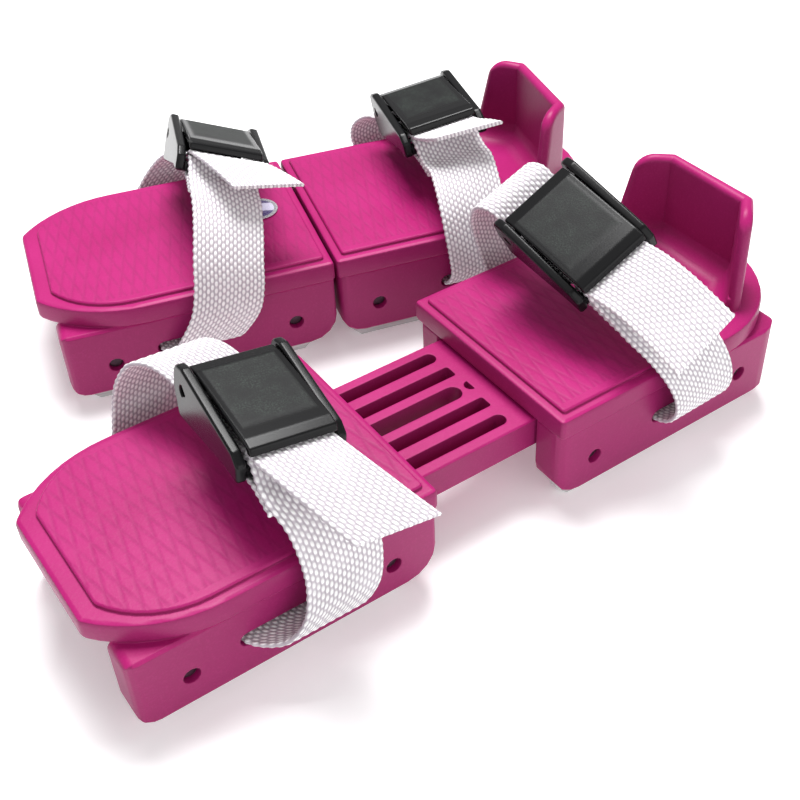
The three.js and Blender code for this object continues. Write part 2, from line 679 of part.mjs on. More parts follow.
function strapBody(strap) {
  const keys = strapStations(strap);
  const curve = new THREE.CatmullRomCurve3(keys.map((k) => k[0]), false, "centripetal");
  const n = keys.length - 1;
  const rings = [];
  for (let i = 0; i <= n; i++) {
    const span = i < n ? keys[i][0].distanceTo(keys[i + 1][0]) : 1;
    const steps = i < n ? Math.max(1, Math.min(3, Math.round(span / 4))) : 1;
    for (let k = 0; k < steps; k++) {
      const t = (i + k / steps) / n;
      const f = k / steps;
      const p = curve.getPoint(Math.min(1, t));
      const along = curve.getTangent(Math.min(1, t)).normalize();
      const w = keys[i][1].clone();
      if (i < n) w.lerp(keys[i + 1][1], f);
      w.normalize();
      const up = along.clone().cross(w).normalize();
      const ring = [[-1, -1], [1, -1], [1, 1], [-1, 1]].map(([a, b]) =>
        p.clone().addScaledVector(w, (a * STRAP_WIDTH) / 2).addScaledVector(up, (b * STRAP_THICK) / 2),
      );
      rings.push(ring);
    }
  }
  return upright(loft(rings));
}

// near, far and tail: [x, y, z, [yaw, roll]] along the webbing, in its section's own frame.
const STRAPS = {
  near_front: {
    half: "front",
    at: [-37.7, -5.6, 59.5],
    turn: [-8, 7.2, -3.5],
    near: [
      [-37.2, -40.5, 53, [0, 3]],
      [-36.2, -44.2, 44, [0, 0]],
      [-36.5, -46.3, 34.5, [0, 0]],
      [-39.5, -48.3, 26, [0, 0]],
      [-45.5, -47.6, 20.6, [0, 0]],
    ],
    far: [
      [-54, 46, 20, [0, 0]],
      [-52, 48.6, 28, [0, 0]],
      [-50, 48.6, 38, [0, 0]],
      [-48.5, 47.4, 47, [0, 0]],
      [-47, 45, 53.5, [0, 2]],
      [-44, 41.5, 59.3, [0, 4]],
      [-40.5, 35, 61.5, [0, 6]],
      [-37.8, 27, 60.3, [0, 7]],
    ],
    tail: [
      [-36.2, -36, 67.2, [-4, 6]],
      [-33, -47, 64.3, [-6, 4]],
      [-30.5, -55, 61.8, [-8, 2]],
      [-28, -62, 59.5, [-8, 1]],
    ],
  },
  near_heel: {
    half: "heel",
    at: [42.7, 4.6, 64.1],
    turn: [0.5, -28.7, -4.2],
    near: [
      [43.8, -31, 56.5, [0, -25]],
      [47, -38.5, 50.5, [0, -19]],
      [50.5, -44, 43, [0, -13]],
      [53.2, -47, 35, [0, -9]],
      [54.8, -47, 27, [0, -5]],
      [55, -44, 21, [0, -2]],
    ],
    far: [
      [54, 46.5, 20.5, [0, 0]],
      [51.5, 49.3, 30, [0, -4]],
      [48.3, 49.8, 40, [0, -9]],
      [45, 49.5, 51, [0, -14]],
      [42, 47.5, 61, [0, -18]],
      [40.5, 42.5, 69, [0, -22]],
      [41.5, 35.5, 70.5, [0, -26]],
    ],
    tail: [
      [38.5, -28, 69.3, [0, -29]],
      [38.3, -40, 68.2, [0, -30]],
      [37.9, -50, 66.4, [0, -30]],
      [37.5, -59, 64.5, [0, -30]],
    ],
  },
  far_front: {
    half: "front",
    at: [-30.8, 10.6, 57.3],
    turn: [-26.1, 19.3, -8.7],
    near: [
      [-33.2, -26, 63, [0, 16]],
      [-35.5, -35, 58, [0, 15]],
      [-38, -41.5, 50.5, [0, 13]],
      [-39.6, -44.6, 42, [0, 10]],
      [-42, -45.5, 33, [0, 7]],
      [-46.3, -44.3, 25, [0, 3]],
      [-50, -42.6, 20, [0, 0]],
    ],
    far: [
      [-51.5, 46, 20.5, [0, 0]],
      [-47, 48.5, 28, [0, 4]],
      [-42, 48, 35.5, [0, 9]],
      [-37, 45.5, 42, [0, 14]],
      [-33, 41, 46.8, [0, 17]],
    ],
    tail: [
      [-26.5, -13, 72.4, [-4, 17]],
      [-22.8, -22, 72.2, [-4, 13]],
      [-18.6, -31, 70.6, [-4, 8]],
    ],
  },
  far_heel: {
    half: "heel",
    at: [55.7, 11.4, 54.9],
    turn: [-16.4, -8.3, -0.7],
    near: [
      [54.6, -24, 59.5, [0, -6]],
      [53.5, -33, 56.5, [0, -4]],
      [52.8, -40, 50.5, [0, -2]],
      [53.2, -43.8, 41.5, [0, 0]],
      [54.4, -44.6, 32, [0, 0]],
      [55.4, -43.2, 24, [0, 0]],
    ],
    far: [
      [53, 46, 20.5, [0, 0]],
      [49, 49.5, 28.5, [0, 0]],
      [46, 49.5, 37, [0, -2]],
      [46.5, 46.5, 45.5, [0, -4]],
      [50, 42, 50.5, [0, -6]],
      [54, 38, 51, [0, -8]],
    ],
    tail: [
      [54, -14, 68.6, [-2, -8]],
      [55.5, -20, 71, [-6, -10]],
      [57.5, -25.5, 73, [-14, -12]],
    ],
  },
};

// ---- one skate ----------------------------------------------------------
function section(skate, side, half, group) {
  const front = half === "front";
  const pins = front ? FRONT_PINS : HEEL_PINS;
  const range = front ? FRONT_RUNNER : HEEL_RUNNER;
  const prefix = skate + "_" + half;
  piece(prefix + "_section", front ? frontSection() : heelSection(), "shell", group);
  for (const [label, sign] of [["left", 1], ["right", -1]]) {
    const blade = runner(range, pins).translate([0, sign * RUNNER_Y, 0]);
    piece(prefix + "_runner_" + label, blade, "steel", group);
    pins.forEach((p, i) => {
      const a = RAIL_INNER + 2 + CLEAR;
      const b = RAIL_OUTER - PIN_RECESS;
      const pin = solid(rod(PIN_RADIUS, a, b, "y", [p.x, p.z], 10));
      const name = prefix + "_pin_" + label + "_" + (i ? "rear" : "fore");
      piece(name, sign > 0 ? pin : mirrored(pin), "pin", group);
    });
  }
  const strap = STRAPS[prefix];
  piece(prefix + "_strap", strapBody(strap), "webbing", group);
  const buckle = new THREE.Group();
  buckle.position.copy(laid(strap.at, half));
  buckle.rotation.set(...strap.turn.map((d) => THREE.MathUtils.degToRad(d)), "ZYX");
  group.add(buckle);
  piece(prefix + "_buckle_frame", buckleFrame(), "buckle", buckle);
  piece(prefix + "_cam_lever", camLever(), "buckle", buckle);
  piece(prefix + "_lever_pin", leverPin(), "pin", buckle);
}

function skate(name, gap) {
  const whole = new THREE.Group();
  section(name, name, "front", whole);
  const heel = new THREE.Group();
  heel.position.x = gap;
  whole.add(heel);
  section(name, name, "heel", heel);
  piece(name + "_extension_plate", extensionPlate(), "shell", heel);
  piece(name + "_plate_screw", plateScrew(), "zinc", heel);
  piece(name + "_lock_stud", lockStud(), "zinc", whole);
  piece(name + "_lock_washer", washer(), "zinc", whole);
  piece(name + "_wing_nut", wingNut(), "zinc", whole);
  const z = PLATE_TOP + PAD_RISE + CLEAR;
  const disc = solid(rod(BADGE_RADIUS, z, z + BADGE_THICK, "z", [BADGE_X, BADGE_Y], 20));
  piece(name + "_badge", disc, "badge", whole);
  return whole;
}

const pair = new THREE.Group();
pair.add(skate("near", GAP_NEAR));
const far = skate("far", GAP_FAR);
far.position.set(FAR_X, FAR_Y, 0);
far.rotation.z = THREE.MathUtils.degToRad(FAR_TURN);
pair.add(far);

// The origin is the middle of the pair's footprint, on the ice.
pair.updateMatrixWorld(true);
const bounds = new THREE.Box3().setFromObject(pair, true);
const centre = bounds.getCenter(new THREE.Vector3());
pair.children.forEach((child) => child.position.sub(new THREE.Vector3(centre.x, centre.y, 0)));
pair.updateMatrixWorld(true);

export default pair;
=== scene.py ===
"""A pair of child's strap-on skates with double runners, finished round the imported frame.

Metres, +Z up, in the row's own frame. Each moulded or metal piece is its CAD solid with its edges
and surface finished; the webbing, the buckles and the badges are worked out here as surfaces.
"""
import json
import math

import bmesh
import bpy
import numpy as np
from mathutils import Matrix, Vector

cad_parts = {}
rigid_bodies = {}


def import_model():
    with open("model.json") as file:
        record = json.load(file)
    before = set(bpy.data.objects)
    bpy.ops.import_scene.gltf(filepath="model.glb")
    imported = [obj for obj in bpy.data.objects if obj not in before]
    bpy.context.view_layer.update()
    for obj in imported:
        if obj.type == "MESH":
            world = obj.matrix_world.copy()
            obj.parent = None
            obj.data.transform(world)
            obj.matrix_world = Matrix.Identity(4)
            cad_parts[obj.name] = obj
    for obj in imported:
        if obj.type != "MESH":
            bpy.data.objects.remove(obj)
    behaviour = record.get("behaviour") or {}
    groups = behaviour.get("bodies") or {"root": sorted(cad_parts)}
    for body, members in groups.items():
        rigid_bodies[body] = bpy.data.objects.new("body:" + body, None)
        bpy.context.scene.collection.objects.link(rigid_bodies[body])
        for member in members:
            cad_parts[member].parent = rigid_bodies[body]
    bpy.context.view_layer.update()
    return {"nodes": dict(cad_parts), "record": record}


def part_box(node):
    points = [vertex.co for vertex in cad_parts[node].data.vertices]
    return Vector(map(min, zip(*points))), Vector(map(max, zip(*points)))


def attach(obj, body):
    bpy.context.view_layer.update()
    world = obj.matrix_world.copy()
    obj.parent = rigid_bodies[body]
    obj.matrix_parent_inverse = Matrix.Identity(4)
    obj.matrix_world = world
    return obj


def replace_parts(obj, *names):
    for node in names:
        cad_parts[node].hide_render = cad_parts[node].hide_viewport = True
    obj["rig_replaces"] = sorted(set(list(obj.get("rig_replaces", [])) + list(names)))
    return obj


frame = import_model()

MM = 0.001

# ---- driving dimensions, in millimetres, the same as the CAD source's --------------------------
STUD_X = -15.2  # lock stud, from the front section's rear edge
SCREW_X = 30.0  # plate screw, from the heel section's front edge
PAD_TOP = 40.8  # the raised tread's face above the ice
RAIL_OUTER = 39.0
RAIL_INNER = 26.4
STRAP_WIDTH = 25.0
STRAP_THICK = 1.4
STRAP_HEIGHT = 18.3  # middle of the webbing inside the slots
FRONT_SLOT_X = -53.6
HEEL_SLOT_X = 54.4
BUCKLE_HALF = 16.7
CHEEK_THICK = 3.2
HINGE = (13.0, 10.2)  # y and z of the lever's pin in the buckle's own frame
HINGE_HOLE = 1.9
BADGE_RADIUS = 7.3
BADGE_FACE = 5.75  # radius of the enamel inside the rim

# ---- the treads' relief ------------------------------------------------------------------------
TREAD_PITCH = 4.3  # from stroke to stroke along the skate
TREAD_SLANT = 4.4  # a stroke's run across the skate for its run along it
TREAD_HALF = 33.5  # how far out from the centreline the strokes reach

# ---- the weave ---------------------------------------------------------------------------------
WEAVE_COLUMNS = 18  # yarns across the webbing
WEAVE_PITCH = 2.5  # one yarn's bump and dip along the webbing
WEAVE_RISE = 0.2
EDGE_SCALLOP = 0.22  # how far the edges go in and out
STRAP_STEP = 0.5  # spacing of the surface's rows

FAR_TURN = -15.0  # degrees, the far skate's turn on the ice
SKATES = ("near", "far")


# ---- places, read from the frame ---------------------------------------------------------------
def middle(node):
    """The middle of a CAD node's box."""
    low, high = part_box(node)
    return (np.array(low) + np.array(high)) / 2


def about_z(degrees):
    """The turn about Z that takes X towards Y by that angle."""
    c, s = math.cos(math.radians(degrees)), math.sin(math.radians(degrees))
    return np.array([[c, -s, 0.0], [s, c, 0.0], [0.0, 0.0, 1.0]])


def skate_turn(skate):
    """A skate's turn on the ice, in degrees."""
    return FAR_TURN if skate == "far" else 0.0


def section_place(skate, half):
    """Turn and origin of a section's own frame, found from the fastener on its centreline."""
    turn = about_z(skate_turn(skate))
    node, x = ("_lock_stud", STUD_X) if half == "front" else ("_plate_screw", SCREW_X)
    at = middle(skate + node) * (1, 1, 0)
    return turn, at - turn @ np.array([x * MM, 0.0, 0.0])


def in_row(points, skate, half):
    """Section points in millimetres become row points in metres: turn times point, plus origin."""
    turn, origin = section_place(skate, half)
    return np.asarray(points, float) * MM @ turn.T + origin


BODY_OF = {n: b for b, nodes in frame["record"]["behaviour"]["bodies"].items() for n in nodes}
SLOT_OF = {s["node"]: s["material_slot"] for s in frame["record"]["subparts"]}


# ---- shader arithmetic -------------------------------------------------------------------------
class Tone:
    """A shader value that Python arithmetic works on: each operation adds one Math node."""

    def __init__(self, finish, socket):
        self.finish = finish
        self.socket = socket

    def math(self, operation, *others):
        values = {i + 1: v for i, v in enumerate(others)}
        return self.finish.node("ShaderNodeMath", {"operation": operation}, {0: self, **values})

    def __add__(self, other):
        return self.math("ADD", other)

    __radd__ = __add__

    def __sub__(self, other):
        return self.math("SUBTRACT", other)

    def __rsub__(self, other):
        return self.finish.node("ShaderNodeMath", {"operation": "SUBTRACT"}, {0: other, 1: self})

    def __mul__(self, other):
        return self.math("MULTIPLY", other)

    __rmul__ = __mul__

    def __truediv__(self, other):
        return self.math("DIVIDE", other)

    def near(self, value, reach):
        """1 where this is within reach of value, and 0 elsewhere."""
        return self.math("COMPARE", value, reach)

    def ramp(self, low, high):
        """Rises smoothly from 0 at low to 1 at high."""
        sockets = {"Value": self, "From Min": low, "From Max": high}
        return self.finish.node("ShaderNodeMapRange", {"interpolation_type": "SMOOTHSTEP"}, sockets)

    def zigzag(self):
        """A triangle wave of period 1: 0 halfway between whole numbers, 1 on them."""
        return (self.math("FRACT") - 0.5).math("ABSOLUTE") * 2


class Finish:
    """One material under construction."""

    def __init__(self, name, **constants):
        self.material = bpy.data.materials.new(name)
        self.material.use_nodes = True
        self.tree = self.material.node_tree
        self.shader = self.tree.nodes["Principled BSDF"]
        for name, value in constants.items():
            self.socket(name).default_value = value

    def socket(self, name):
        """The shader's socket of that name, whatever its capitals."""
        wanted = name.replace("_", " ")
        return next(s for s in self.shader.inputs if s.name.lower() == wanted)

    def node(self, kind, settings=None, sockets=None, out=0):
        """Adds a node of any kind: its settings first, then its sockets' values or links."""
        made = self.tree.nodes.new(kind)
        for name, value in (settings or {}).items():
            setattr(made, name, value)
        for name, value in (sockets or {}).items():
            self.feed(made.inputs[name], value)
        return Tone(self, made.outputs[out])

    def feed(self, socket, value):
        if isinstance(value, Tone):
            self.tree.links.new(value.socket, socket)
        else:
            socket.default_value = value

    def set(self, **surface):
        """Links what varies over the surface to the shader's own sockets."""
        for name, value in surface.items():
            self.feed(self.socket(name), value)
        return self.material

    def place(self, at=(0, 0, 0), turn=0.0, stretch=(1, 1, 1)):
        """Object coordinates counted from a point, turned about Z and stretched."""
        coordinates = self.node("ShaderNodeTexCoord", out="Object")
        sockets = {"Vector": coordinates, "Location": at, "Rotation": (0, 0, turn), "Scale": stretch}
        return self.node("ShaderNodeMapping", {"vector_type": "TEXTURE"}, sockets)

    def parts(self, vector):
        """The three numbers of a vector."""
        made = self.node("ShaderNodeSeparateXYZ", None, {0: vector})
        return [Tone(self, made.socket.node.outputs[i]) for i in range(3)]

    def noise(self, scale, vector, detail=2.0, roughness=0.5):
        sockets = {"Vector": vector, "Scale": scale, "Detail": detail, "Roughness": roughness}
        return self.node("ShaderNodeTexNoise", None, sockets)

    def mix(self, factor, a, b):
        """Colour a where the factor is 0, and colour b where it is 1."""
        return self.node("ShaderNodeMix", {"data_type": "RGBA"}, {0: factor, 6: a, 7: b}, out=2)

    def bump(self, height, distance, strength=1.0, normal=None):
        sockets = {"Height": height, "Distance": distance, "Strength": strength}
        if normal is not None:
            sockets["Normal"] = normal
        return self.node("ShaderNodeBump", None, sockets)

    def eased(self, radius):
        """The normal with all its edges rounded by that radius, and a mask of those rounds, where the
        finishes lighten colour as a painted highlight.
        """
        rounded = self.node("ShaderNodeBevel", {"samples": 6}, {"Radius": radius})
        true = self.node("ShaderNodeNewGeometry", out="Normal")
        dot = self.node("ShaderNodeVectorMath", {"operation": "DOT_PRODUCT"}, {0: rounded, 1: true}, 1)
        return rounded, (1 - dot).ramp(0.01, 0.22)


def rgb(r, g, b):
    """A colour's linear parts, opaque."""
    return (r, g, b, 1.0)


# ---- finishes ----------------------------------------------------------------------------------
def shell_finish(skate):
    """Magenta moulded plastic: crossed strokes on the treads with painted shade in their grooves, a fine
    grain, painted shade on the upright sides, and a painted highlight on the edges.
    """
    f = Finish(skate + "_magenta_moulding", specular_ior_level=0.2)
    _, origin = section_place(skate, "front")
    own = f.place(tuple(origin), math.radians(skate_turn(skate)))
    x, y, z = f.parts(own)
    period = TREAD_SLANT * TREAD_PITCH * MM
    rising = ((x * TREAD_SLANT + y) / period).zigzag()
    falling = ((x * TREAD_SLANT - y) / period).zigzag()
    strokes = rising.math("MAXIMUM", falling).ramp(0.5, 1.0)
    strokes = strokes * (z.near(PAD_TOP * MM, 0.06 * MM) * y.near(0.0, TREAD_HALF * MM))
    cloud = f.noise(28.0, own, 3.0)
    grain = f.noise(1500.0, own, 2.0, 0.6)
    strokes = strokes * (f.noise(240.0, own, 2.0).ramp(0.3, 0.7) * 0.5 + 0.5)
    # Painted shade: faces that stand upright are mixed towards a darker, duller magenta, as if turned away
    # from the light.
    upright = f.parts(f.node("ShaderNodeTexCoord", out="Normal"))[2].math("ABSOLUTE")
    side = 1 - upright.ramp(0.25, 0.8)
    colour = f.mix(cloud.ramp(0.3, 0.7), rgb(0.345, 0.008, 0.118), rgb(0.40, 0.011, 0.145))
    colour = f.mix(side * 0.75, colour, rgb(0.24, 0.015, 0.092))
    # Painted shade: the strokes are the tread's grooves, and their colour is darkened as shade in them; the
    # bump carries the relief itself.
    colour = f.mix(strokes * 0.26, colour, rgb(0.15, 0.003, 0.06))
    colour = f.mix(grain.ramp(0.45, 0.8) * 0.16, colour, rgb(0.56, 0.045, 0.24))
    rounded, edge_highlight = f.eased(0.7 * MM)
    # Painted highlight: the rounded rims are lightened as if catching the light.
    colour = f.mix(edge_highlight * 0.4, colour, rgb(0.55, 0.045, 0.21))
    height = grain * 0.06 - strokes * 0.12 + f.noise(420.0, own, 2.0) * 0.08
    return f.set(
        base_color=colour,
        roughness=cloud * 0.1 + grain * 0.08 + 0.3 + strokes * 0.1,
        normal=f.bump(height, 1.0 * MM, 0.55, rounded),
    )


def steel_finish(skate):
    """Pale ground steel, its grinding lines along the runner, and a painted highlight on its rims."""
    f = Finish(skate + "_ground_steel", metallic=0.55)
    own = f.place((0, 0, 0), math.radians(skate_turn(skate)), (14, 1, 1))
    lines = f.noise(900.0, own, 3.0, 0.7)
    spots = f.noise(120.0, f.place(), 2.0)
    rounded, edge_highlight = f.eased(0.35 * MM)
    colour = f.mix(lines.ramp(0.3, 0.7), rgb(0.50, 0.54, 0.52), rgb(0.70, 0.74, 0.72))
    # Painted highlight: the rounded rims are lightened towards near white.
    colour = f.mix(edge_highlight * 0.6, colour, rgb(0.88, 0.9, 0.89))
    return f.set(
        base_color=colour,
        roughness=lines * 0.18 + spots * 0.1 + 0.24,
        normal=f.bump(lines, 0.05 * MM, 0.5, rounded),
    )


def pin_finish():
    """Dark blackened pins, patchy in tone, with a painted highlight on the rim."""
    f = Finish("blackened_pin", metallic=0.4)
    wear = f.noise(700.0, f.place(), 3.0)
    rounded, edge_highlight = f.eased(0.3 * MM)
    colour = f.mix(wear.ramp(0.4, 0.75), rgb(0.035, 0.012, 0.024), rgb(0.09, 0.03, 0.06))
    # Painted highlight: the rounded rim is lightened.
    colour = f.mix(edge_highlight * 0.5, colour, rgb(0.24, 0.14, 0.19))
    normal = f.bump(wear, 0.1 * MM, 0.4, rounded)
    return f.set(base_color=colour, roughness=wear * 0.3 + 0.35, normal=normal)


def zinc_finish():
    """Zinc-plated steel with a faint blotched spangle and a painted highlight on its rims."""
    f = Finish("zinc_plate", metallic=0.9)
    spangle = f.node("ShaderNodeTexVoronoi", None, {"Vector": f.place(), "Scale": 650.0}, out="Distance")
    fine = f.noise(2200.0, f.place(), 2.0)
    rounded, edge_highlight = f.eased(0.35 * MM)
    colour = f.mix(spangle.ramp(0.1, 0.9), rgb(0.60, 0.61, 0.63), rgb(0.76, 0.77, 0.78))
    # Painted highlight: the rounded rims are lightened towards white.
    colour = f.mix(edge_highlight * 0.5, colour, rgb(0.9, 0.9, 0.9))
    normal = f.bump(fine, 0.06 * MM, 0.5, rounded)
    return f.set(base_color=colour, roughness=spangle * 0.14 + 0.26, normal=normal)


def buckle_finish():
    """Black plastic, plain but for a grained field on the lever's top whose specks are painted pale
    green-grey as glints, with a painted highlight on the rims.
    The attribute "own" gives each point in the buckle's own frame, in millimetres."""
    f = Finish("black_grained_plastic", specular_ior_level=0.2)
    x, y, z = f.parts(f.node("ShaderNodeAttribute", {"attribute_name": "own"}, out="Vector"))
    plain = x.math("ABSOLUTE").ramp(10.0, 11.6).math("MAXIMUM", (y * -1).ramp(12.5, 16.5))
    plain = plain.math("MAXIMUM", y.ramp(10.0, 11.5)).math("MAXIMUM", 1 - z.ramp(6.5, 8.0))
    grained = 1 - plain
    specks = f.noise(1900.0, f.place(), 3.0, 0.7)
    blush = f.noise(150.0, f.place(), 2.0)
    rounded, edge_highlight = f.eased(0.45 * MM)
    # Painted glints: specks of the grain, gathered in patches, are lightened as if catching the light.
    glints = specks.ramp(0.42, 0.7) * blush.ramp(0.2, 0.75) * grained
    colour = f.mix(glints, rgb(0.006, 0.006, 0.0065), rgb(0.032, 0.043, 0.036))
    # Painted highlight: the rounded rims are lightened a little.
    colour = f.mix(edge_highlight * 0.5, colour, rgb(0.02, 0.024, 0.022))
    return f.set(
        base_color=colour,
        roughness=specks * grained * 0.3 + 0.24 + grained * 0.1,
        normal=f.bump(specks * grained, 0.12 * MM, 0.5, rounded),
    )


def webbing_finish():
    """White basket-woven webbing: columns of yarn bumps half a pitch out of step, with painted mauve-grey
    shade in the dips.
    U counts across the webbing from 0 to 1, V along it in tenths of a metre."""
    f = Finish(
        "white_webbing", roughness=0.82, specular_ior_level=0.25, sheen_weight=0.25, sheen_roughness=0.5)
    uv = f.node("ShaderNodeUVMap", {"uv_map": "weave"})
    u, v, _ = f.parts(uv)
    column = u * WEAVE_COLUMNS
    odd = column.math("FLOOR").math("MODULO", 2.0) * 0.5
    along = v * (100.0 / WEAVE_PITCH) + odd
    bulge = (column.math("FRACT") * math.pi).math("SINE")
    rise = (along * (2 * math.pi)).math("COSINE") * 0.5 + 0.5
    yarn = bulge * (rise * 0.75 + 0.25)
    threads = f.node("ShaderNodeMapping", None, {"Vector": uv, "Scale": (420.0, 260.0, 1.0)})
    fibre = f.noise(1.0, threads, 3.0, 0.7)
    slub = f.noise(90.0, f.place(), 2.0)
    # Painted shade: the dips between the yarns are darkened to mauve-grey.
    colour = f.mix(yarn.ramp(0.08, 0.7), rgb(0.46, 0.41, 0.46), rgb(0.95, 0.945, 0.945))
    colour = f.mix(slub.ramp(0.45, 0.75) * 0.22, colour, rgb(0.84, 0.80, 0.85))
    colour = f.mix(fibre.ramp(0.55, 0.8) * 0.12, colour, rgb(0.72, 0.70, 0.72))
    return f.set(base_color=colour, normal=f.bump(yarn + fibre * 0.3, 0.35 * MM, 0.8))


def badge_finish(skate):
    """A plain enamelled disc: violet, crossed by a soft pale band, in a silver rim."""
    f = Finish(skate + "_badge_enamel", coat_weight=0.8, coat_roughness=0.08)
    at = middle(skate + "_badge")
    own = f.place(tuple(at), math.radians(skate_turn(skate)))
    x, y, _ = f.parts(own)
    rim = (x * x + y * y).math("SQRT").ramp(BADGE_FACE * MM, (BADGE_FACE + 0.25) * MM)
    sweep = (y * 620.0 + x * 180.0 + f.noise(160.0, own, 1.0) * 1.6).math("SINE") * 0.5 + 0.5
    flecks = f.noise(1800.0, own, 2.0)
    colour = f.mix(sweep.ramp(0.35, 0.6), rgb(0.085, 0.05, 0.19), rgb(0.72, 0.66, 0.86))
    colour = f.mix(flecks.ramp(0.5, 0.8) * 0.2, colour, rgb(0.9, 0.9, 0.95))
    colour = f.mix(rim, colour, rgb(0.78, 0.76, 0.82))
    return f.set(base_color=colour, metallic=rim * 0.8, roughness=0.22 + flecks * 0.12)


def floor_finish():
    """A plain matt white, a little bright by itself."""
    f = Finish(
        "pale_floor", specular_ior_level=0.1, emission_color=rgb(1, 1, 1), emission_strength=0.22)
    cloud = f.noise(3.0, f.place(), 2.0)
    colour = f.mix(cloud.ramp(0.3, 0.7), rgb(0.93, 0.93, 0.935), rgb(0.95, 0.948, 0.95))
    return f.set(base_color=colour, roughness=cloud * 0.05 + 0.85)


FINISHES = {
    "runner_steel": {s: steel_finish(s) for s in SKATES},
    "shell": {s: shell_finish(s) for s in SKATES},
    "badge_metal": {s: badge_finish(s) for s in SKATES},
    "pin_metal": dict.fromkeys(SKATES, pin_finish()),
    "zinc": dict.fromkeys(SKATES, zinc_finish()),
    "buckle_plastic": dict.fromkeys(SKATES, buckle_finish()),
    "webbing": dict.fromkeys(SKATES, webbing_finish()),
}


# ---- meshes ------------------------------------------------------------------------------------
def finish_piece(mesh, name, node, sharp=38.0):
    """Puts a mesh in the scene for a CAD node: shaded, painted, and riding on the node's body."""
    mesh.name = name
    mesh.shade_smooth()
    mesh.set_sharp_from_angle(angle=math.radians(sharp))
    mesh.materials.clear()
    mesh.materials.append(FINISHES[SLOT_OF[node]][node.split("_")[0]])
    piece = bpy.data.objects.new(name, mesh)
    bpy.context.scene.collection.objects.link(piece)
    weighted = piece.modifiers.new("weighted_normals", "WEIGHTED_NORMAL")
    weighted.keep_sharp = True
    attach(piece, BODY_OF[node])
    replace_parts(piece, node)
    return piece


def finished_solid(node):
    """The CAD node's own shape as one welded mesh, so that its rounds shade smoothly."""
    mesh = bpy.data.meshes.new(node)
    welded = bmesh.new()
    welded.from_mesh(frame["nodes"][node].data)
    bmesh.ops.remove_doubles(welded, verts=welded.verts, dist=0.004 * MM)
    welded.to_mesh(mesh)
    welded.free()
    for layer in [a for a in mesh.attributes if a.name == "custom_normal"]:
        mesh.attributes.remove(layer)
    return finish_piece(mesh, node + "_finished", node)


def grid_faces(rows, columns, wrap_rows=False, wrap_columns=True):
    """Quads of a grid of points, row by row: corner (i, j), (i, j+1), (i+1, j+1), (i+1, j)."""
    i = np.arange(rows if wrap_rows else rows - 1)[:, None]
    j = np.arange(columns if wrap_columns else columns - 1)[None, :]
    up, over = (i + 1) % rows, (j + 1) % columns
    corners = [i * columns + j, i * columns + over, up * columns + over, up * columns + j]
    return np.stack(np.broadcast_arrays(*corners), axis=-1).reshape(-1, 4)


def surface(name, parts):
    """One mesh of several closed grids, each (points[rows, columns, 3], wrap_rows): a grid that
    doesn't wrap along its rows is closed by its first and last row as flat ends."""
    points, faces, start = [], [], 0
    for grid, wrap in parts:
        rows, columns = grid.shape[:2]
        quads = grid_faces(rows, columns, wrap) + start
        faces += quads.tolist()
        if not wrap:
            faces.append((start + np.arange(columns))[::-1].tolist())
            faces.append((start + (rows - 1) * columns + np.arange(columns)).tolist())
        points.append(grid.reshape(-1, 3))
        start += rows * columns
    mesh = bpy.data.meshes.new(name)
    mesh.from_pydata(np.concatenate(points).tolist(), [], faces)
    turned = bmesh.new()
    turned.from_mesh(mesh)
    bmesh.ops.recalc_face_normals(turned, faces=turned.faces)
    turned.to_mesh(mesh)
    turned.free()
    return mesh


# ---- webbing -----------------------------------------------------------------------------------
# Round the buckle's front bar and back under itself, then through the buckle: y and z in its frame.
HEM = [[-31, -7.2], [-26, -5.2], [-21.5, -3.5], [-17.5, -2.95], [-14.9, -1.6], [-14.1, 0.6],
       [-15.2, 2.9], [-18, 3.75], [-20.6, 3.3], [-22.4, 1.4], [-24.5, -1.2], [-29, -4]]
THROUGH = [[24, 1.6], [19, 2.9], [14, 3], [0, 3], [-8, 3.05], [-13.5, 4.5], [-18, 5.6], [-22, 5.7]]

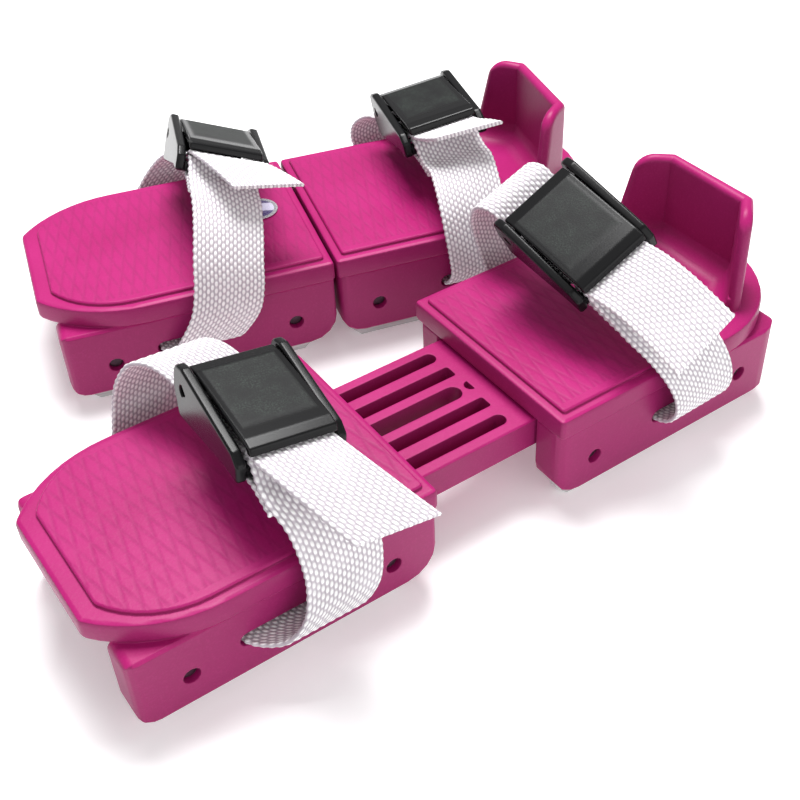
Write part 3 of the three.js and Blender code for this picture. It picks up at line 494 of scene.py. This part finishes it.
# near, far and tail: x, y, z along the webbing in its section's frame, then its yaw and roll.
STRAPS = {
    "near_front": dict(
        slot=FRONT_SLOT_X, at=[-37.7, -5.6, 59.5], turn=[-8, 7.2, -3.5],
        near=[[-37.2, -40.5, 53, 0, 3], [-36.2, -44.2, 44, 0, 0], [-36.5, -46.3, 34.5, 0, 0],
              [-39.5, -48.3, 26, 0, 0], [-45.5, -47.6, 20.6, 0, 0]],
        far=[[-54, 46, 20, 0, 0], [-52, 48.6, 28, 0, 0], [-50, 48.6, 38, 0, 0],
             [-48.5, 47.4, 47, 0, 0], [-47, 45, 53.5, 0, 2], [-44, 41.5, 59.3, 0, 4],
             [-40.5, 35, 61.5, 0, 6], [-37.8, 27, 60.3, 0, 7]],
        tail=[[-36.2, -36, 67.2, -4, 6], [-33, -47, 64.3, -6, 4], [-30.5, -55, 61.8, -8, 2],
              [-28, -62, 59.5, -8, 1]]),
    "near_heel": dict(
        slot=HEEL_SLOT_X, at=[42.7, 4.6, 64.1], turn=[0.5, -28.7, -4.2],
        near=[[43.8, -31, 56.5, 0, -25], [47, -38.5, 50.5, 0, -19], [50.5, -44, 43, 0, -13],
              [53.2, -47, 35, 0, -9], [54.8, -47, 27, 0, -5], [55, -44, 21, 0, -2]],
        far=[[54, 46.5, 20.5, 0, 0], [51.5, 49.3, 30, 0, -4], [48.3, 49.8, 40, 0, -9],
             [45, 49.5, 51, 0, -14], [42, 47.5, 61, 0, -18], [40.5, 42.5, 69, 0, -22],
             [41.5, 35.5, 70.5, 0, -26]],
        tail=[[38.5, -28, 69.3, 0, -29], [38.3, -40, 68.2, 0, -30], [37.9, -50, 66.4, 0, -30],
              [37.5, -59, 64.5, 0, -30]]),
    "far_front": dict(
        slot=FRONT_SLOT_X, at=[-30.8, 10.6, 57.3], turn=[-26.1, 19.3, -8.7],
        near=[[-33.2, -26, 63, 0, 16], [-35.5, -35, 58, 0, 15], [-38, -41.5, 50.5, 0, 13],
              [-39.6, -44.6, 42, 0, 10], [-42, -45.5, 33, 0, 7], [-46.3, -44.3, 25, 0, 3],
              [-50, -42.6, 20, 0, 0]],
        far=[[-51.5, 46, 20.5, 0, 0], [-47, 48.5, 28, 0, 4], [-42, 48, 35.5, 0, 9], [-37, 45.5, 42, 0, 14],
             [-33, 41, 46.8, 0, 17]],
        tail=[[-26.5, -13, 72.4, -4, 17], [-22.8, -22, 72.2, -4, 13], [-18.6, -31, 70.6, -4, 8]]),
    "far_heel": dict(
        slot=HEEL_SLOT_X, at=[55.7, 11.4, 54.9], turn=[-16.4, -8.3, -0.7],
        near=[[54.6, -24, 59.5, 0, -6], [53.5, -33, 56.5, 0, -4], [52.8, -40, 50.5, 0, -2],
              [53.2, -43.8, 41.5, 0, 0], [54.4, -44.6, 32, 0, 0], [55.4, -43.2, 24, 0, 0]],
        far=[[53, 46, 20.5, 0, 0], [49, 49.5, 28.5, 0, 0], [46, 49.5, 37, 0, -2], [46.5, 46.5, 45.5, 0, -4],
             [50, 42, 50.5, 0, -6], [54, 38, 51, 0, -8]],
        tail=[[54, -14, 68.6, -2, -8], [55.5, -20, 71, -6, -10], [57.5, -25.5, 73, -14, -12]]),
}


def buckle_turn(strap):
    """The buckle's turn in its section: about X, then Y, then Z."""
    x, y, z = np.radians(strap["turn"])
    about_x = [[1, 0, 0], [0, math.cos(x), -math.sin(x)], [0, math.sin(x), math.cos(x)]]
    about_y = [[math.cos(y), 0, math.sin(y)], [0, 1, 0], [-math.sin(y), 0, math.cos(y)]]
    return about_z(math.degrees(z)) @ np.array(about_y) @ np.array(about_x)


def in_section(points, strap):
    """Points of the buckle's own frame in its section's: turn times point, plus the buckle's place."""
    return np.asarray(points, float) @ buckle_turn(strap).T + np.array(strap["at"], float)


def strap_keys(strap):
    """Points along the webbing and the unit vector across it at each, in millimetres."""
    turn = buckle_turn(strap)
    route, across = [], []
    for part in ("hem", "near", "slot", "far", "through", "tail"):
        if part in ("hem", "through"):
            at = np.array(HEM if part == "hem" else THROUGH, float)
            points = in_section(np.column_stack([np.zeros(len(at)), at]), strap)
            widths = np.tile(turn[:, 0], (len(at), 1))
        elif part == "slot":
            sides = np.array([-RAIL_OUTER, -RAIL_INNER, 0, RAIL_INNER, RAIL_OUTER])
            points = np.column_stack([np.full(5, strap["slot"]), sides, np.full(5, STRAP_HEIGHT)])
            widths = np.tile([1.0, 0.0, 0.0], (5, 1))
        else:
            table = np.array(strap[part], float)
            points = table[:, :3]
            yaw, roll = np.radians(table[:, 3:]).T
            widths = np.column_stack(
                [np.cos(yaw) * np.cos(roll), np.sin(yaw) * np.cos(roll), -np.sin(roll)])
        route.append(points)
        across.append(widths)
    return np.concatenate(route), np.concatenate(across)


def smooth_route(keys, across, step):
    """A centripetal Catmull-Rom curve through the keys, sampled every step: on each span a cubic
    whose end slopes come from the spans beside it, each weighed by the root of its length."""
    ends = np.vstack([2 * keys[0] - keys[1], keys, 2 * keys[-1] - keys[-2]])
    spans = np.linalg.norm(np.diff(ends, axis=0), axis=1)[:, None] ** 0.5
    p0, p1, p2, p3 = ends[:-3], ends[1:-2], ends[2:-1], ends[3:]
    d0, d1, d2 = spans[:-2], spans[1:-1], spans[2:]
    slope1 = d1 * ((p1 - p0) / d0 - (p2 - p0) / (d0 + d1) + (p2 - p1) / d1)
    slope2 = d1 * ((p2 - p1) / d1 - (p3 - p1) / (d1 + d2) + (p3 - p2) / d2)
    f = np.linspace(0, 1, 25)[None, :-1, None]
    a, b = p1[:, None], p2[:, None]
    m, n = slope1[:, None], slope2[:, None]
    curve = a + m * f + (3 * (b - a) - 2 * m - n) * f**2 + (2 * (a - b) + m + n) * f**3
    wide = across[:-1, None] * (1 - f) + across[1:, None] * f
    curve = np.vstack([curve.reshape(-1, 3), keys[-1:]])
    wide = np.vstack([wide.reshape(-1, 3), across[-1:]])
    run = np.concatenate([[0], np.cumsum(np.linalg.norm(np.diff(curve, axis=0), axis=1))])
    at = np.linspace(0, run[-1], int(round(run[-1] / step)) + 1)
    curve = np.column_stack([np.interp(at, run, c) for c in curve.T])
    wide = np.column_stack([np.interp(at, run, c) for c in wide.T])
    wide /= np.linalg.norm(wide, axis=1)[:, None]
    along = np.gradient(curve, axis=0)
    along /= np.linalg.norm(along, axis=1)[:, None]
    up = np.cross(along, wide)
    up /= np.linalg.norm(up, axis=1)[:, None]
    return curve, wide, up, at


def webbing_profile(across_points=48, edge_points=5):
    """The webbing's section as (across, up) and the way each point faces: two flat faces and two
    half-round edges. Also each point's place across, from 0 to 1, and how flat it lies."""
    half, round_edge = STRAP_WIDTH / 2, STRAP_THICK / 2
    flat = np.linspace(-1, 1, across_points) * (half - round_edge)
    arc = np.linspace(-90, 90, edge_points + 2)[1:-1]
    top = np.full(across_points, 90.0)
    face = np.concatenate([top, arc[::-1], -top, arc[::-1] + 180])
    middle_x = np.concatenate([flat, np.full(edge_points, half - round_edge), flat[::-1],
                               np.full(edge_points, round_edge - half)])
    facing = np.column_stack([np.cos(np.radians(face)), np.sin(np.radians(face))])
    section = np.column_stack([middle_x, np.zeros(len(middle_x))]) + facing * round_edge
    u = np.clip(section[:, 0] / STRAP_WIDTH + 0.5, 0.0, 1.0)
    return section, facing, u, np.abs(facing[:, 1])


def webbing_grid(name):
    """The webbing as profile times route: centre + across * x + up * y, each point pushed out along
    its face by the weave, sin(pi * column) times half of 1 + cos(2 pi * length / pitch) out of step
    in every other column, and the edges in and out by their scallop."""
    strap = STRAPS[name]
    keys, across = strap_keys(strap)
    centre, wide, up, run = smooth_route(keys, across, STRAP_STEP)
    section, facing, u, flatness = webbing_profile()
    column = u * WEAVE_COLUMNS
    odd = np.floor(np.minimum(column, WEAVE_COLUMNS - 1e-6)) % 2 * 0.5
    bulge = np.abs(np.sin(np.pi * column)) ** 0.7
    rise = 0.5 + 0.5 * np.cos(2 * np.pi * (run[:, None] / WEAVE_PITCH + odd[None, :]))
    weave = WEAVE_RISE * (bulge[None, :] * rise - 0.55) * flatness[None, :]
    scallop = EDGE_SCALLOP * np.cos(2 * np.pi * run / WEAVE_PITCH)[:, None] * (1 - flatness)[None, :]
    push = weave + scallop
    x = section[None, :, 0] + facing[None, :, 0] * push
    y = section[None, :, 1] + facing[None, :, 1] * push
    points = centre[:, None] + wide[:, None] * x[..., None] + up[:, None] * y[..., None]
    return points, u, run


def webbing(name):
    """One strap as a single closed surface with its weave's own map."""
    points, u, run = webbing_grid(name)
    rows, columns = points.shape[:2]
    skate, half = name.split("_")
    grid = in_row(points.reshape(-1, 3), skate, half).reshape(points.shape)
    mesh = surface(name + "_webbing", [(grid, False)])
    corner = np.empty(len(mesh.loops), np.int32)
    mesh.loops.foreach_get("vertex_index", corner)
    layer = mesh.uv_layers.new(name="weave")
    uv = np.column_stack([u[corner % columns], run[corner // columns] / 100.0])
    layer.data.foreach_set("uv", uv.astype(np.float32).ravel())
    return finish_piece(mesh, name + "_webbing", name + "_strap", 60.0)


# ---- cam buckles -------------------------------------------------------------------------------
def rounded_outline(corners, radii, steps=6):
    """A polygon with each corner turned into an arc that touches both its sides."""
    corners = np.array(corners, float)
    before, after = np.roll(corners, 1, axis=0) - corners, np.roll(corners, -1, axis=0) - corners
    before /= np.linalg.norm(before, axis=1)[:, None]
    after /= np.linalg.norm(after, axis=1)[:, None]
    half = np.arccos(np.clip((before * after).sum(axis=1), -1, 1)) / 2
    radii = np.array(radii, float)
    inward = before + after
    inward /= np.linalg.norm(inward, axis=1)[:, None]
    centre = corners + inward * (radii / np.sin(half))[:, None]
    start = corners + before * (radii / np.tan(half))[:, None] - centre
    end = corners + after * (radii / np.tan(half))[:, None] - centre
    turn = np.arctan2(start[:, 0] * end[:, 1] - start[:, 1] * end[:, 0], (start * end).sum(axis=1))
    t = turn[:, None] * np.linspace(0, 1, steps)[None, :]
    c, s = np.cos(t), np.sin(t)
    x = centre[:, :1] + start[:, :1] * c - start[:, 1:] * s
    y = centre[:, 1:] + start[:, :1] * s + start[:, 1:] * c
    points = np.column_stack([x.ravel(), y.ravel()])
    keep = np.linalg.norm(points - np.roll(points, 1, axis=0), axis=1) > 0.03
    return points[keep]


def outward(outline):
    """The mitred outward normal at each point of a closed outline that runs anticlockwise."""
    side = np.roll(outline, -1, axis=0) - outline
    side /= np.linalg.norm(side, axis=1)[:, None]
    normal = np.column_stack([side[:, 1], -side[:, 0]])
    both = normal + np.roll(normal, 1, axis=0)
    return both / (0.5 * (both**2).sum(axis=1))[:, None]


def edge_round(radius, steps):
    """Rings of a quarter round: how far in from the outline, and how far in from the end."""
    t = np.linspace(0, np.pi / 2, steps + 1)
    return radius * (1 - np.sin(t)), radius * (1 - np.cos(t))


def moulding(outline, x0, x1, radius, steps=4, hole=None):
    """A side outline carried along X from x0 to x1: ring i is the outline drawn in along its
    normals by inset i at x i, quarter rounds at both ends. With a hole it closes through it."""
    outline = np.array(outline)
    if (outline[:, 0] * np.roll(outline[:, 1], -1) - outline[:, 1] * np.roll(outline[:, 0], -1)).sum() < 0:
        outline = outline[::-1]
    inset, depth = edge_round(radius, steps)
    insets = np.concatenate([inset, inset[::-1]])
    places = np.concatenate([x0 + depth, x1 - depth[::-1]])
    rings = outline[None] - outward(outline)[None] * insets[:, None, None]
    if hole is not None:
        away = outline - np.array(hole[:2])
        bore = np.array(hole[:2]) + hole[2] * away / np.linalg.norm(away, axis=1)[:, None]
        lip = np.array(hole[:2]) + (hole[2] + 0.25) * away / np.linalg.norm(away, axis=1)[:, None]
        rings = np.concatenate([bore[None], lip[None], rings, lip[None], bore[None]])
        places = np.concatenate([[x0 + 0.25, x0], places, [x1, x1 - 0.25]])
    x = np.broadcast_to(places[:, None], rings.shape[:2])
    return np.dstack([x, rings[..., 0], rings[..., 1]]), hole is not None


INNER = BUCKLE_HALF - CHEEK_THICK
LEVER_HALF = INNER - 0.45
CHEEK = rounded_outline(
    [[-21.5, -1.6], [-13, 0], [17.5, 0], [20, 9], [18, 17.2], [12.5, 17.6], [-19, 7.4], [-22, 4.2]],
    [1.2, 1, 2, 6, 3.2, 2, 2.6, 1.5])
FRONT_BAR = rounded_outline([[-20.6, -1.4], [-16, -1.4], [-16, 2.4], [-20.6, 2.4]], [1.1] * 4)
BASE = rounded_outline([[-10.5, 0], [17, 0], [17, 2], [-10.5, 2]], [0.6] * 4)
LEVER = rounded_outline(
    [[-23.6, 7], [-21.4, 6.8], [-20.4, 8.4], [10, 13.4], [16.4, 13.1], [16.4, 16.1], [11, 16.4],
     [-19.8, 10.7], [-23.2, 9.4]],
    [0.6, 0.8, 1.2, 1.5, 1.2, 1.2, 4, 6, 1.2], 8)
CAM_WEB = rounded_outline([[9, 10.2], [16, 10.2], [16, 14.2], [9, 13.6]], [0.6] * 4)


def buckle_piece(parts, strap_name, name, node):
    """Puts surfaces from the buckle's own frame in the row's frame as one piece."""
    skate, half = strap_name.split("_")
    placed = []
    for grid, wrap in parts:
        flat = in_section(grid.reshape(-1, 3), STRAPS[strap_name])
        placed.append((in_row(flat, skate, half).reshape(grid.shape), wrap))
    mesh = surface(name, placed)
    own = np.concatenate([grid.reshape(-1, 3) for grid, _ in parts])
    layer = mesh.attributes.new("own", "FLOAT_VECTOR", "POINT")
    layer.data.foreach_set("vector", own.astype(np.float32).ravel())
    return finish_piece(mesh, name, node, 42.0)


def buckle_frame(strap_name):
    """Two cheeks with the pin's hole, a ridge along each, the base and the front bar."""
    hole = (*HINGE, HINGE_HOLE)
    parts = []
    for side in (-1, 1):
        x0, x1 = sorted((side * BUCKLE_HALF, side * INNER))
        parts.append(moulding(CHEEK, x0, x1, 0.9, hole=hole))
    parts.append(moulding(BASE, -INNER - 1, INNER + 1, 0.3))
    parts.append(moulding(FRONT_BAR, -INNER - 1, INNER + 1, 0.3))
    name = strap_name + "_buckle_frame"
    return buckle_piece(parts, strap_name, name + "_finished", name)


def cam_lever(strap_name):
    """The lever's plate with its turned-down lip, and the toothed cam that bears on the webbing."""
    half = LEVER_HALF
    t = np.linspace(0, 2 * np.pi, 96, endpoint=False)
    tooth = 5.0 - 0.22 + 0.22 * np.cos(16 * t)
    cam = np.column_stack([HINGE[0] - 0.8 + tooth * np.cos(t), HINGE[1] - 0.8 + tooth * np.sin(t)])
    parts = [
        moulding(LEVER, -half, half, 0.55),
        moulding(cam, -half + 1.6, half - 1.6, 0.2, 1),
        moulding(CAM_WEB, -half + 1.6, half - 1.6, 0.2),
    ]
    name = strap_name + "_cam_lever"
    return buckle_piece(parts, strap_name, name + "_finished", name)


# ---- badges ------------------------------------------------------------------------------------
def badge(skate):
    """A turned disc: radius and height along its profile, carried round a full turn."""
    low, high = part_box(skate + "_badge")
    base, top = low.z / MM, high.z / MM
    r = BADGE_RADIUS
    profile = np.array([
        [0.05, base], [r - 0.3, base], [r, base + 0.12], [r, top - 0.18], [r - 0.2, top], [r - 0.9, top],
        [r - 1.15, top - 0.16], [r - 2.2, top - 0.14], [r * 0.4, top - 0.06], [0.05, top - 0.04]])
    angle = np.linspace(0, 2 * np.pi, 72, endpoint=False)
    grid = np.stack([
        profile[:, :1] * np.cos(angle), profile[:, :1] * np.sin(angle),
        np.repeat(profile[:, 1:], len(angle), axis=1)], axis=-1)
    centre = middle(skate + "_badge") * (1, 1, 0)
    return finish_piece(surface(skate + "_badge_disc", [(grid * MM + centre, False)]),
                        skate + "_badge_disc", skate + "_badge")


# ---- camera, lights and floor ------------------------------------------------------------------
def add_camera():
    """Looks down at the pair from ahead of its near side, with a slight roll."""
    heading, tilt, roll = math.atan2(0.5688, 0.8225), 0.71566, -0.02593
    level = math.cos(tilt)
    ahead = np.array([level * math.sin(heading), level * math.cos(heading), -math.sin(tilt)])
    right = np.array([math.cos(heading), -math.sin(heading), 0.0])
    up = np.cross(right, ahead)
    x = math.cos(roll) * right + math.sin(roll) * up
    y = math.cos(roll) * up - math.sin(roll) * right
    data = bpy.data.cameras.new("camera")
    data.sensor_width = 36.0
    data.lens = 55.0
    data.shift_x, data.shift_y = -0.0443, -0.001
    data.clip_start = 0.01
    camera = bpy.data.objects.new("camera", data)
    bpy.context.scene.collection.objects.link(camera)
    matrix = np.identity(4)
    matrix[:3, 0], matrix[:3, 1], matrix[:3, 2] = x, y, -ahead
    matrix[:3, 3] = (-0.16945, -0.30207, 0.2915)
    camera.matrix_world = Matrix(matrix.tolist())
    bpy.context.scene.camera = camera


def add_light(name, at, towards, size, energy):
    """A soft square light at a point, turned to face another: sides in metres, power in watts."""
    data = bpy.data.lights.new(name, "AREA")
    data.shape, data.size, data.energy = "SQUARE", size, energy
    light = bpy.data.objects.new(name, data)
    bpy.context.scene.collection.objects.link(light)
    back = np.array(at, float) - np.array(towards, float)
    back /= np.linalg.norm(back)
    side = np.cross([0, 0, 1.0], back)
    side /= np.linalg.norm(side)
    matrix = np.identity(4)
    matrix[:3, 0], matrix[:3, 1], matrix[:3, 2], matrix[:3, 3] = side, np.cross(back, side), back, at
    light.matrix_world = Matrix(matrix.tolist())


def add_floor():
    """A flat pale floor under the runners: x and y on a grid, z zero."""
    side = np.linspace(-3.0, 3.0, 13)
    x, y = np.meshgrid(side, side)
    points = np.column_stack([x.ravel(), y.ravel(), np.full(x.size, -0.0001)])
    mesh = bpy.data.meshes.new("floor")
    mesh.from_pydata(points.tolist(), [], grid_faces(13, 13, False, False).tolist())
    mesh.materials.append(floor_finish())
    floor = bpy.data.objects.new("floor", mesh)
    bpy.context.scene.collection.objects.link(floor)


def add_surroundings():
    """An even pale room, a strong light overhead and two weak ones, over the floor."""
    world = bpy.data.worlds.new("studio")
    world.use_nodes = True
    room = world.node_tree.nodes["Background"].inputs
    room["Color"].default_value = rgb(1.0, 0.995, 1.0)
    room["Strength"].default_value = 0.42
    bpy.context.scene.world = world
    bpy.context.scene.view_settings.view_transform = "Standard"
    add_light("overhead", (0.16, 0.28, 0.95), (0, 0.02, 0.03), 0.5, 15.0)
    add_light("front_fill", (0.1, -1.1, 0.45), (0, 0, 0.03), 0.9, 4.0)
    add_light("side_fill", (-0.8, -0.5, 0.5), (0, 0, 0.03), 0.8, 1.4)
    add_floor()


# ---- the pair ----------------------------------------------------------------------------------
add_camera()
for strap_name in STRAPS:
    webbing(strap_name)
    buckle_frame(strap_name)
    cam_lever(strap_name)
for skate_name in SKATES:
    badge(skate_name)
replaced = {n for o in bpy.data.objects for n in o.get("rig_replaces", [])}
for node_name in sorted(set(frame["nodes"]) - replaced):
    finished_solid(node_name)
add_surroundings()
